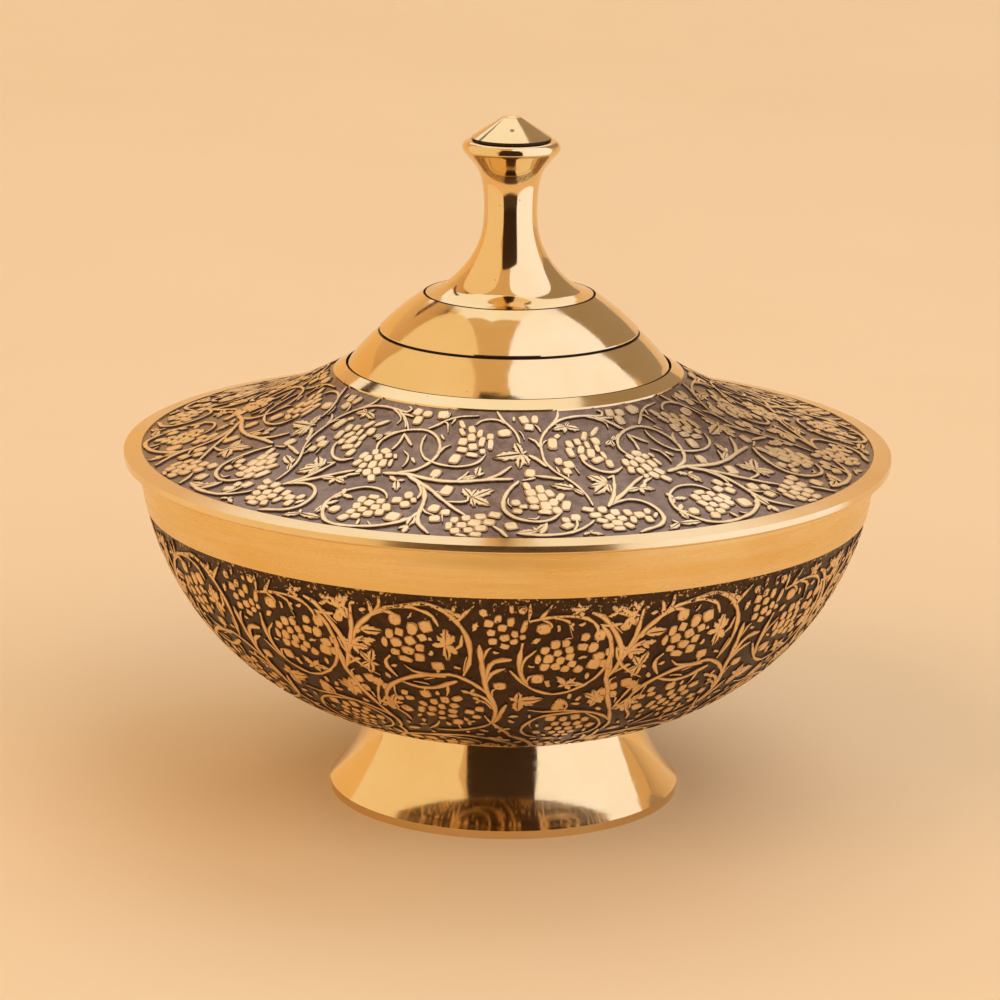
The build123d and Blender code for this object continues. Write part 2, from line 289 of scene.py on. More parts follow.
def dome_face(radius, height, rise, outward):
    if inside(STEP_JOINT, radius, height) or inside(FINIAL_JOINT, radius, height):
        return GROOVE
    if height < DOME_LIP - 0.05:
        return GROOVE if radius > SPIGOT_RADIUS else SATIN
    return POLISHED if outward or rise > FACING_UP else SATIN


def finial_face(radius, height, rise, _):
    at_edge = inside(FINIAL_EDGE, radius, height) and abs(rise) < UPRIGHT
    return GROOVE if at_edge or inside(TIP_JOINT, radius, height) else KNOB


def foot_face(_radius, _height, rise, outward):
    return POLISHED if outward and rise > STANDING else SATIN


paint("bowl", (POLISHED, BOWL_GROUND, SATIN), bowl_face)
paint("lid_brim", (POLISHED, LID_GROUND, GROOVE, SATIN, RIM), brim_face)
paint("lid_dome", (POLISHED, GROOVE, SATIN), dome_face)
paint("finial", (KNOB, GROOVE), finial_face)
paint("foot", (POLISHED, SATIN), foot_face)
FIXINGS = (
    "foot_bolt", "bowl_washer", "foot_washer", "foot_nut", "lid_collar", "finial_screw", "finial_washer"
)
for name in FIXINGS:
    paint(name, (FIXING,), lambda *_: FIXING)


# -------- the grapevine scroll
# The scroll is drawn flat: x runs around the vessel and y along its profile. The drawing plane keeps
# every angle, so a berry stays a berry where the vessel narrows. It is as wide as the field's widest
# circle, and each tile of it is repeated around the axis. The rows are in tenths of a millimetre:
# - a stem is its width at the start and at the end, x, y of its first point, and then the steps
#   dx, dy from each point to the next;
# - a berry or bud is x, y, width and height, and its tilt in degrees if it has one;
# - a leaf is x, y of its middle, and then dx, dy from there to the tip of each lobe.
def drawing(stems, berries, leaves):
    """The rows in mm: (points, widths), (x, y, width, height, tilt) and (middle, tips)."""
    drawn = ([], [], [])
    for start_width, end_width, *steps in stems:
        places = zip(accumulate(steps[::2]), accumulate(steps[1::2]))
        drawn[0].append(([(x / 10, y / 10) for x, y in places], start_width / 10, end_width / 10))
    for x, y, width, height, *tilt in berries:
        drawn[1].append((x / 10, y / 10, width / 10, height / 10, *(tilt or [0])))
    for x, y, *steps in leaves:
        tips = [((x + dx) / 10, (y + dy) / 10) for dx, dy in zip(steps[::2], steps[1::2])]
        drawn[2].append(((x / 10, y / 10), tips))
    return drawn


LID_REPEATS = 6
LID_STEMS = [
    # the long stem under the bunches, with its side twigs
    (16, 13, -345, 246, 65, 8, 60, -11, 50, -6, 60, 5, 60, 12, 65, 4),
    (12, 9, -135, 243, 15, 20, 10, 23),
    (15, 11, -60, 253, 35, 25, 35, 40),
    (13, 11, -310, 256, 45, 19, 30, 35, 16, 45, -4, 50, -27, 45, -40, 24, -45, 0, -45, -16, -40, -38,
     -12, -40, 12, -35),
    (10, 9, -288, 452, -2, -32, 12, -45, 23, -36, 35, -20, 50, -12, 50, 6, 35, 25, 16, 35),
    (13, 8, -219, 358, 12, 37, 20, 16),
    (13, 11, -369, 446, 4, -46, -7, -42),
    (12, 13, -369, 444, 27, -28, 26, -26),
    (7, 8, -330, 360, 22, -20, 8, -30, -3, -27),
    (13, 8, -292, 485, 32, 31, 25, 26, 40, 23, 45, 8, 35, 5),
    (10, 5, -255, 530, 22, -4, 9, -21, 8, -31),
    (9, 12, -215, 520, 9, 33),
    (11, 10, -418, 530, 23, -25, 15, -29),
    (12, 14, -435, 546, 30, -1, 27, -6),
    (11, 15, -122, 526, 16, 23, 36, 12, 35, -5, 32, -20),
    (14, 10, -46, 606, 21, -41, 30, -41, 21, -35, 10, -31, 5, -28),
    (6, 5, 40, 498, 12, -23, 4, -25),
    # the stem that crosses the whole brim
    (15, 7, 206, 606, -10, -36, -31, -40, -35, -45, -19, -45, -3, -50, 4, -50, 20, -45, 28, -38, 24,
     -42, 11, -40, 3, -43),
    (17, 12, 66, 373, 24, -23, 24, -35),
    (8, 14, 70, 461, 24, -21, 13, -32),
    (14, 12, 155, 518, 45, 35, 50, 14, 50, 1, 40, -4, 40, -4, 12, 20, -17, 12),
    (12, 5, 310, 565, 40, -19, 28, -28, -1, -32),
    (13, 9, 345, 560, 40, -30, 30, -32, 25, -38),
    (8, 6, 112, 415, 10, 23, 13, 8),
    (9, 7, 118, 490, -6, 26, -12, 16),
    (9, 8, 140, 313, 6, -30),
    (7, 6, 169, 278, -3, -18),
    (10, 13, 224, 348, 10, -33, 29, -32, 37, -11, 33, 18),
    (12, 9, 430, 460, -38, -17, -20, -20),
    (8, 5, 196, 303, 4, -29),
    # the fork below the left bunch
    (16, 8, -275, 250, 50, -32, 35, -26, 34, -35, 36, -37, 31, -29),
    (11, 8, -255, 240, 27, -30, 14, -30, 0, -30),
    (15, 9, -230, 222, 23, -37, 11, -45, 3, -50, 7, -37, 18, -25, 14, -19),
    (12, 8, -195, 96, -15, -33, -35, -29, -45, -19, -45, -6, -35, 7, -26, 27, -18, 39, 1, 33, 17, 37,
     36, 25, 40, -2, 26, -18, 8, -20),
    (7, 6, -397, 45, -23, 25),
    (10, 8, -143, 147, 33, 2, 16, 9, -2, 22),
    (8, 8, -178, 190, 12, -6),
    (8, 5, -192, 115, 13, -19, 21, -9),
    (5, 4, -143, 96, 5, -21, 2, -15),
    (10, 8, -225, 55, 12, 11),
    (11, 10, -310, 42, 6, -24),
    (9, 7, -288, 36, 13, -13),
    (8, 9, -200, 243, -1, 13),
    (12, 9, -406, 229, -24, -11, -15, -18),
    (9, 12, -29, 52, 17, -20, 13, -26),
    # the loop with its bunch at the front, and what grows from the edge of the brim
    (12, 10, 30, 248, -24, -35, -15, -48, 3, -45, 22, -31, 40, -17, 36, 6, 25, 25),
    (5, 5, 3, 172, -1, -22, 8, -17),
    (9, 11, 40, 252, 35, 11),
    (13, 13, 74, 273, 36, -7, 42, -13),
    (7, 6, 44, 86, 16, -4, 10, 12),
    (10, 15, 83, 66, -9, -30, -9, -14),
    (14, 7, 18, 24, 52, -9, 45, 5, 35, 16, 22, 20, 14, 16),
    (9, 9, 134, 29, 11, 24, 3, 23),
    (15, 10, 232, 123, 24, 37, 19, 43, 18, 55),
    (15, 11, 238, 135, 32, 25, 30, 26, 35, 30, 37, 24),
    (10, 11, 237, 127, 26, 15, 33, 5, 28, -15, 16, -34, -3, -40, -24, -29, -33, -11, -16, -10),
    (11, 8, 292, 256, -20, -10),
]
LID_BERRIES = [
    # the bunch of the left loop
    (-388, 348, 29, 23, -20), (-418, 336, 19, 26, 20), (-368, 329, 20, 20), (-395, 315, 22, 27, 25),
    (-423, 302, 21, 28, 10), (-368, 291, 19, 30, 20), (-394, 277, 20, 31, 25), (-419, 267, 19, 25, 10),
    (-367, 253, 19, 29, 25), (-391, 241, 20, 27, 20), (-366, 219, 19, 29, 15), (-346, 297, 10, 30, 5),
    (-444, 312, 18, 28), (-444, 276, 18, 27), (-416, 240, 14, 18), (-346, 330, 10, 19, 30),
    # the bunch of the second loop
    (-174, 526, 18, 42, 22), (-165, 484, 17, 38, 18), (-132, 500, 21, 33, 8), (-127, 458, 26, 38, 8),
    (-153, 434, 27, 35, 5), (-100, 481, 18, 36, 12), (-88, 438, 18, 43, 6), (-62, 466, 24, 29),
    (-58, 426, 17, 46, -8), (-115, 410, 25, 28), (-81, 389, 19, 24), (-148, 393, 30, 22, -10),
    (-112, 369, 31, 17),
    # the bunch beside the crossing stem
    (316, 479, 16, 54, -32), (270, 460, 19, 40, -18), (206, 422, 20, 33, 8), (236, 432, 21, 28, -8),
    (265, 413, 16, 33, -12), (301, 429, 24, 31), (199, 382, 20, 40, 12), (236, 390, 21, 38, -12),
    (264, 370, 22, 36), (293, 393, 15, 33), (234, 353, 19, 26, 5), (275, 337, 34, 20, 12),
    (301, 356, 12, 32, -8),
    # the bunch of the lower left loop
    (-319, 140, 26, 16, -8), (-342, 123, 17, 24, 15), (-319, 113, 19, 21), (-296, 126, 18, 22, 20),
    (-273, 104, 18, 29, 25), (-341, 95, 16, 22, 10), (-322, 83, 18, 21, -20), (-297, 98, 19, 21),
    (-280, 80, 17, 22, 10), (-342, 68, 16, 20), (-324, 54, 18, 19, 10), (-302, 70, 18, 21, 10),
    (-346, 42, 18, 22, -25),
    # the bunch at the edge, left of the front loop
    (-88, 83, 18, 23), (-58, 91, 20, 20), (-27, 100, 24, 21, -25), (-112, 73, 17, 23),
    (-68, 64, 23, 23), (-38, 69, 22, 21), (-120, 47, 14, 28, 10), (-94, 52, 19, 21), (-54, 42, 22, 20),
    (-104, 28, 18, 22), (-78, 33, 18, 19), (-62, 17, 19, 15), (-90, 10, 20, 9),
    # the bunch of the front loop
    (50, 226, 16, 32, 30), (83, 212, 18, 30, 12), (105, 193, 20, 30, 8), (58, 197, 24, 27),
    (61, 165, 22, 28, 12), (85, 176, 22, 30, 8), (128, 176, 17, 32, -18), (109, 153, 19, 27, 5),
    (89, 139, 22, 32, 15), (62, 135, 21, 18), (137, 140, 18, 34, -25), (112, 120, 18, 24),
    (85, 113, 28, 17, -12),
    # the bunch of the lower right loop
    (183, 118, 24, 16, -20), (215, 114, 19, 22, 15), (240, 99, 20, 24, 5), (268, 95, 17, 23, 10),
    (194, 93, 22, 17), (223, 80, 18, 22, 10), (247, 71, 19, 19), (290, 81, 20, 20),
    (313, 92, 15, 21, -8), (202, 68, 23, 16, -20), (231, 55, 20, 19), (270, 64, 13, 25, -8),
    (304, 60, 15, 23, -10), (209, 44, 22, 16, -8), (252, 41, 15, 20, 15), (228, 31, 24, 14),
    (325, 74, 8, 20, -25),
    # buds, alone and by threes
    (-374, 571, 30, 33), (-329, 566, 36, 32, 10), (-353, 525, 29, 39), (-265, 570, 34, 38),
    (-13, 488, 44, 36), (61, 563, 30, 38, 12), (104, 563, 23, 39, -8), (78, 520, 32, 32),
    (22, 567, 10, 22, 15), (150, 430, 27, 46), (172, 466, 16, 22, -50), (153, 341, 22, 29, -10),
    (181, 323, 26, 27), (169, 292, 22, 26, 8), (304, 314, 20, 32), (-161, 346, 26, 37),
    (-200, 270, 24, 34), (-153, 198, 26, 39, -8), (-240, 164, 19, 26, 10), (-261, 139, 22, 21),
    (-236, 124, 22, 25, 15), (-222, 144, 12, 18, 20), (-245, 68, 26, 29), (-382, 70, 22, 26),
    (-166, 117, 23, 26), (-137, 103, 19, 20), (-155, 74, 22, 24), (8, 55, 22, 26), (20, 154, 19, 20),
    (37, 136, 17, 14), (23, 118, 20, 17), (63, 287, 24, 30), (148, 87, 20, 24), (125, 77, 17, 20),
    (125, 53, 22, 18, 20), (-284, 322, 9, 24, 25), (-228, 450, 8, 28, 30),
]
LID_LEAVES = [
    (42, 378, -20, 64, -89, -19, -9, -71, 20, -55, 20, 15),
    (-86, 172, -30, 44, 12, 42, 54, 44, 47, -32, 10, -40),
    (263, 224, -45, 45, -13, 42, -53, -8, -48, -41, -5, -44),
    (-245, 550, -43, 33, -15, 52, 10, 40),
    (356, 424, -30, -22, -6, -36, 29, 22),
    (-86, 270, 4, 48, 22, 15, -40, -22),
    (-294, 220, 17, -43, -28, 18, 22, 8),
    (-398, 132, 34, -8, -8, 28, -16, -24),
    (-202, 36, -2, -32, 3, 44, -17, -16),
    (168, 210, -56, 24, -6, 22, 22, -30),
    (340, 192, -40, -8, 28, 16, 40, -12, 0, -28),
    (214, 515, -54, -13, 55, -21, 22, 29, -10, -33, -39, 17),
    (60, 34, -42, -10, 24, 30, -8, 16),
    (358, 29, -32, -19, -10, 17, 52, -3),
    (387, 80, 20, 26, -7, 18, -1, -40, 17, -14),
    (164, 22, -16, -10, 8, 6, 26, -12),
]
LID_DRAWING = drawing(LID_STEMS, LID_BERRIES, LID_LEAVES)

BOWL_REPEATS = 8
BOWL_STEMS = [
    # the fork at the left of the tile and the loop that springs from it
    (12, 11, -420, 36, 24, 10, 21, 30, 22, 39, 8, 35, -5, 35, -16, 37),
    (4, 5, -378, 58, 24, 32),
    (5, 8, -364, 160, 3, 26, -3, 24),
    (15, 10, -356, 206, 16, -54, 16, -32, 24, -38, 28, -26, 28, -13, 20, 5),
    (11, 6, -270, 50, 30, -15, 40, -7, 30, 5, 24, 13, 12, 24),
    (9, 12, -224, 30, 39, -9, 35, -2, 30, 15, 23, 21, 17, 31, 7, 39, -3, 40, -14, 39),
    (4, 5, -81, 146, -9, 44),
    (11, 14, -340, 160, 18, -30, 24, -18),
    (12, 10, -335, 140, 13, -40, 5, -40, 2, -20),
    (9, 7, -316, 44, 3, -11, 9, -2),
    (8, 10, -339, 80, 3, -26, 13, -27),
    (13, 7, -272, 52, 0, -18, -5, -14),
    (9, 8, -266, 46, 13, -16, 2, -21),
    (10, 7, -94, 54, 17, -21, 16, -16),
    (9, 9, -87, 88, -5, 26, -10, 12),
    (10, 10, -244, 157, -13, 16, -1, 21, 16, 29),
    (10, 13, -352, 199, 18, -12, 16, -9),
    (7, 8, -384, 79, -12, 7),
    # the fork between the two loops
    (14, 13, -54, 110, 4, 50, 4, 50, 6, 50, 12, 40, 5, 40, -3, 35, -8, 40),
    (9, 6, -44, 150, 6, -24, 9, -8),
    (8, 17, -42, 220, 5, -36, 15, -28, 34, -4),
    (8, 16, -41, 230, 11, -34, 29, -18),
    (7, 12, -219, 182, 17, 17, 42, 8, 40, -4, 30, 12, 30, 25, 18, 24),
    (15, 9, -130, 210, -40, -1, -34, 9, -36, 20, -32, 30, -15, 36, -1, 32, 14, 32, 16, 25, 5, 31),
    (8, 15, -244, 235, 29, 13, 35, 8, 30, -7, 22, -13, 22, -13),
    (5, 6, -206, 236, 20, 2, 17, 6),
    (10, 5, -128, 241, -2, 25, -6, 18),
    (4, 5, -180, 224, 26, -9),
    (5, 6, -254, 246, -6, 34, 2, 24),
    (8, 9, -281, 259, -9, -3),
    (14, 5, -291, 310, -9, 18, -12, 10),
    (12, 14, -144, 199, -1, -11),
    (9, 12, -96, 260, 26, 9, 23, 17, 15, 26, 6, 28),
    (7, 8, -66, 290, 20, 14, 14, 26),
    (15, 12, 3, 310, -10, 30, -8, 35, -14, 35),
    (8, 9, -51, 366, 7, 22, 8, 22),
    (8, 7, -17, 244, -12, 10, 1, 22),
    (9, 9, -185, 270, 2, -12),
    # the second loop
    (9, 9, 8, 182, 18, 27, 22, 25, 24, 20, 36, 13, 34, -7, 34, -23, 29, -34, 14, -43, -1, -40, -12, -32,
     -14, -23),
    (9, 8, 46, 52, 34, -8, 40, -3, 40, 7, 24, 22, 4, 38),
    (9, 6, 96, 44, 28, 9, 10, 23),
    (7, 8, 189, 64, 21, 5, 24, -5),
    (11, 11, 34, 104, -4, 36, -1, 40, 13, 43),
    (6, 9, 64, 124, -21, 21, -9, 30, 4, 31, 12, 24),
    (7, 6, 72, 48, 16, 8, 2, 14),
    (9, 6, 68, 44, 10, -14, 10, -17),
    (8, 7, 44, 50, 3, -20, 0, -20),
    (6, 6, 47, 222, 3, -16, 8, -6),
    (9, 10, 216, 166, -12, 6),
    (3, 3, 126, 62, 8, 32),
    (10, 12, 176, 236, -22, 0),
    (6, 5, 120, 96, 12, -2),
    # the fork at the right of the tile, and the row below
    (12, 12, 194, 68, 18, 28, 9, 39, 0, 45, 3, 40, 13, 40, 5, 28, 10, 28, 14, 40, 14, 44, 12, 46, -8,
     50),
    (9, 7, 229, 124, 7, 26, 16, 30, 24, 24, 30, 22),
    (5, 7, 246, 218, -10, 8, -2, 20),
    (6, 11, 306, 236, -14, 32, -12, 38, -9, 50),
    (8, 7, 285, 256, 9, 6),
    (6, 8, 249, 280, 17, 20, 1, 22),
    (8, 13, 56, 336, 38, 11, 46, -3, 44, 8, 42, 14, 34, 24, 24, 30),
    (11, 9, 196, 356, -56, 3, -42, 11, -28, 24, -20, 36, -4, 40, 18, 40, 34, 22),
    (8, 6, 146, 343, 3, -23, -6, -18),
    (5, 6, 68, 394, -2, 30, 8, 26),
    (9, 10, 206, 364, 44, 46, 16, 50, -18, 46, -38, 26),
    (12, 10, -34, 410, -26, 30, -38, 22, -42, 16, -50, 2),
    (11, 12, -33, 410, 17, 36, 20, 34, 12, 46),
    (7, 12, -174, 414, -14, 36, -26, 30),
    (9, 9, -124, 430, 2, 34),
    # what ties the lowest row together
    (20, 18, 12, 510, 42, 50, 32, 70, 8, 80, -24, 90, -60, 84, -80, 36),
    (16, 18, 90, 660, 36, 80, 54, 64, 66, 42, 64, 54),
    (18, 15, 88, 740, 42, 100, 20, 80),
    (14, 16, 278, 490, -4, 70, -44, 75, -4, 75, 30, 60),
]
BOWL_BERRIES = [
    # the first loop's bunch
    (-239, 98, 16, 24), (-217, 91, 20, 23), (-189, 81, 21, 29, -5), (-160, 73, 24, 27, -25),
    (-252, 122, 15, 27), (-227, 120, 21, 22), (-196, 111, 20, 22, -15), (-170, 101, 19, 20, -20),
    (-232, 147, 19, 17), (-203, 139, 25, 21), (-177, 129, 19, 22, -10), (-213, 164, 30, 16, 5),
    (-181, 156, 21, 22, 5),
    # the left bunch of the row below
    (-342, 252, 21, 25), (-334, 284, 19, 28, -10), (-360, 270, 20, 24, -15), (-363, 300, 22, 17, -10),
    # the bunch under the first loop
    (-112, 294, 28, 19, -45), (-141, 302, 20, 25, -15), (-170, 313, 19, 25, -10),
    (-199, 326, 17, 26, -25), (-122, 326, 22, 21, -10), (-154, 334, 18, 24), (-180, 348, 23, 28),
    (-209, 356, 17, 32, 10), (-129, 355, 21, 20), (-159, 366, 19, 23, -15), (-189, 378, 21, 19),
    (-133, 380, 24, 16), (-162, 396, 22, 16),
    # the small bunch at the top, between the loops
    (-44, 33, 15, 16), (-34, 57, 18, 19), (-16, 46, 15, 18), (9, 53, 14, 22), (-7, 68, 17, 17),
    (-29, 80, 17, 16), (-2, 92, 20, 19), (18, 83, 13, 16), (-26, 102, 18, 17), (16, 102, 17, 14, -30),
    (-2, 114, 19, 13), (36, 64, 12, 30, 5), (34, 90, 13, 13),
    # the second loop's bunch
    (80, 126, 18, 20, 20), (101, 111, 19, 20, 20), (122, 108, 17, 21), (67, 151, 14, 25),
    (89, 150, 20, 22), (107, 134, 19, 19, -20), (131, 126, 17, 19, -20), (82, 174, 19, 21, 15),
    (115, 156, 19, 23, 15), (134, 146, 18, 20, 15), (106, 174, 18, 20), (141, 166, 18, 19, 15),
    (127, 181, 19, 20), (156, 184, 20, 20, 20),
    # the bunch of the lower loop
    (118, 386, 26, 30), (152, 394, 22, 29), (182, 384, 24, 29), (212, 402, 21, 26), (134, 422, 23, 27),
    (166, 426, 22, 26), (196, 424, 22, 26), (120, 454, 22, 26), (149, 458, 21, 24), (178, 460, 21, 25),
    (208, 452, 22, 24), (136, 488, 21, 23), (164, 490, 20, 23), (192, 488, 21, 23), (154, 516, 20, 20),
    (180, 518, 20, 18),
    # buds, alone and by threes
    (-223, 61, 25, 26), (-144, 179, 26, 26), (-398, 91, 22, 27, 15), (-394, 148, 23, 22),
    (-373, 137, 18, 24), (-378, 172, 21, 22), (-295, 253, 26, 28), (-237, 284, 19, 22),
    (-253, 310, 18, 17), (-228, 305, 22, 16), (-185, 282, 27, 30), (-248, 360, 27, 33, -25),
    (-62, 337, 20, 24), (-87, 353, 27, 23), (-71, 379, 22, 21), (-123, 416, 26, 30), (-12, 238, 28, 25),
    (76, 71, 28, 25), (32, 24, 16, 17), (161, 94, 19, 19), (158, 120, 22, 20), (181, 123, 19, 25),
    (188, 171, 29, 28), (69, 212, 27, 29), (241, 74, 18, 18), (278, 243, 24, 26), (-154, 103, 9, 10),
    (132, 60, 6, 6), (128, 318, 26, 48, 10), (90, 484, 22, 28, -20), (236, 446, 22, 30, 15),
    (310, 270, 20, 24),
    # single buds between the lowest rows
    (184, 880, 44, 48), (12, 804, 40, 46, 15), (292, 604, 40, 44),
]
BOWL_LEAVES = [
    (-122, 116, 2, -42, -30, 3, -18, -24, 20, -26, 2, 46, 23, 24),
    (-342, 50, -22, -27, 0, -31, -10, 28, 15, 22),
    (-296, 186, -20, -30, 12, -40, 19, 8, -8, 39, -32, 20),
    (-300, 96, 48, -2, -16, 10, 21, -14),
    (-302, 124, 32, -5, 18, 12, -14, 4),
    (-103, 37, 19, 9, 1, -18, -19, -11, -7, 17),
    (-80, 266, -20, -8, 12, -17, 18, 14),
    (-58, 298, -16, -16, -12, 8, 18, 8),
    (30, 296, -21, -14, 0, -38, 18, -18, 58, -9, 39, 20, 1, 48, -12, 14),
    (134, 232, -22, -26, 20, -20, -18, 10, 12, 22, 42, 2),
    (216, 294, -34, -22, -14, -35, 6, -42, -20, 20, -7, 40, 19, 24, 23, -8),
    (262, 140, -34, -16, 38, 4, 10, 26, 14, -16),
    (222, 39, -20, 9, -13, -17, 8, -19, 20, 1),
    (258, 38, -5, -24, 14, -22, 6, 36, -12, 12),
    (142, 29, -18, -7, 0, -17, 24, -11, 12, 13, -13, 11),
    (-294, 346, -20, 12, 12, 28, -26, -14),
    (126, 324, 2, -38, -14, 10, 22, 14),
    (312, 330, -26, 18, -14, -26, 16, -36, 26, 4, 4, 42),
    (-6, 456, -24, -22, 24, -2, -12, 32),
    (-94, 408, -10, -24, 20, -2, 2, 28),
]
BOWL_DRAWING = drawing(BOWL_STEMS, BOWL_BERRIES, BOWL_LEAVES)

# The rows nearest the foot repeat what is above them, larger on the drawing plane because the vessel
# narrows there: (from x, to x, from y, to y), its middle, where the copy's middle goes, its scale.
LOWER_ROWS = (
    ((-28, -6.4, 1.6, 20.8), (-16.5, 11.5), (-13.5, 71), 1.9),  # the first loop
    ((-5, 4.6, 3, 12), (0, 7), (17, 66), 1.5),  # the small bunch between the loops
    ((0, 9, 25, 35), (3, 29.6), (32, 76), 1.9),  # the flower
)


def repeat_group(drawn, box, middle, place, scale):
    """Copies what a drawing holds in a box to another place, at another size."""

    def moved(x, y):
        return (place[0] + scale * (x - middle[0]), place[1] + scale * (y - middle[1]))

    stems, berries, leaves = drawn
    stems += [
        ([moved(*point) for point in points], start * scale, end * scale)
        for points, start, end in stems
        if all(inside(box, *point) for point in points)
    ]
    berries += [
        (*moved(x, y), width * scale, height * scale, tilt)
        for x, y, width, height, tilt in berries
        if inside(box, x, y)
    ]
    leaves += [
        (moved(*centre), [moved(*tip) for tip in tips]) for centre, tips in leaves if inside(box, *centre)
    ]


for group in LOWER_ROWS:
    repeat_group(BOWL_DRAWING, *group)


# -------- from the drawing to the metal
class Field:
    """The etched ground of a turned node, opened out flat without bending any angle."""

    OUTLINE_STEP = 0.1  # vertices this close are one point of the outline, in mm
    SAMPLES = 600
    SMOOTHING = 25  # samples that a slope is averaged over

    def __init__(self, node, ground, order, facing):
        """Its outline is sorted by radius (order 0) or height (order 1), from the largest down."""
        skin = node.data.materials.find(ground.name)
        used = {v for face in node.data.polygons if face.material_index == skin for v in face.vertices}
        points = np.array([node.data.vertices[v].co for v in sorted(used)]) / MM
        outline = np.stack([np.hypot(points[:, 0], points[:, 1]), points[:, 2]], axis=1)
        keys = np.round(outline[:, order] / self.OUTLINE_STEP).astype(int)
        outline = np.array([outline[keys == key].mean(axis=0) for key in np.unique(keys)])
        outline = outline[np.argsort(-outline[:, order])]
        length = np.concatenate([[0], np.cumsum(np.hypot(*np.diff(outline, axis=0).T))])
        fine = np.linspace(0, length[-1], self.SAMPLES)
        self.radius = np.interp(fine, length, outline[:, 0])
        self.height = np.interp(fine, length, outline[:, 1])
        self.widest = self.radius[0]
        middle = (self.radius[1:] + self.radius[:-1]) / 2
        self.along = np.concatenate([[0], np.cumsum(np.diff(fine) / middle)]) * self.widest
        slope_r = self.slope(self.radius, fine)
        slope_z = self.slope(self.height, fine)
        size = np.hypot(slope_r, slope_z)
        self.normal_r = facing * slope_z / size
        self.normal_z = -facing * slope_r / size

    def slope(self, values, fine):
        padded = np.pad(np.gradient(values, fine), self.SMOOTHING // 2, "edge")
        return np.convolve(padded, np.ones(self.SMOOTHING) / self.SMOOTHING, "valid")

    def at(self, y, values):
        return np.interp(y, self.along, values)

    def place(self, drawn):
        """Drawn x, y and height over the ground, to metres on the vessel; the front faces -Y."""
        x, y, lift = drawn.T
        radius = self.at(y, self.radius) + lift * self.at(y, self.normal_r)
        height = self.at(y, self.height) + lift * self.at(y, self.normal_z)
        turn = x / self.widest
        return np.stack([radius * np.sin(turn), -radius * np.cos(turn), height], axis=1) * MM


def laid(points, origin, ahead):
    """Points drawn along x, laid out from the origin in the direction and the scale of ahead."""
    return np.array(points) @ [ahead, (-ahead[1], ahead[0])] + origin


def rounded(value, squareness):
    """A cosine or sine, pushed out so that the circle they draw gets corners."""
    return math.copysign(abs(value) ** squareness, value)


def varied(serial, pace):
    """From -1 to 1, and different for each piece of the drawing."""
    return math.sin(pace * serial)


# WALL faces take the dark groove patina, which also paints the shade at the foot of each raised part; EDGE
# faces take the painted shade of the shoulders
TOP, WALL, EDGE = 0, 1, 2  # the order of a relief's materials
# across a stem, in shares of half its width: the height there, in shares of the stem's height
STEM_PROFILE = [(-1, None), (-0.88, 0.9), (-0.55, 1), (0.55, 1), (0.88, 0.9), (1, None)]
STEM_SKINS = (WALL, EDGE, TOP, EDGE, WALL)
# one side of a lobe, in shares of its length and of its half width
LOBE_SIDE = [(-0.08, 0.2), (0.14, 0.62), (0.36, 0.92), (0.45, 0.72), (0.64, 0.98), (0.74, 0.6), (0.9, 0.42)]
VEINED_LOBE = 3.6  # shorter lobes have no vein
VEIN = 0.022  # half the width of a vein, in shares of the lobe's length


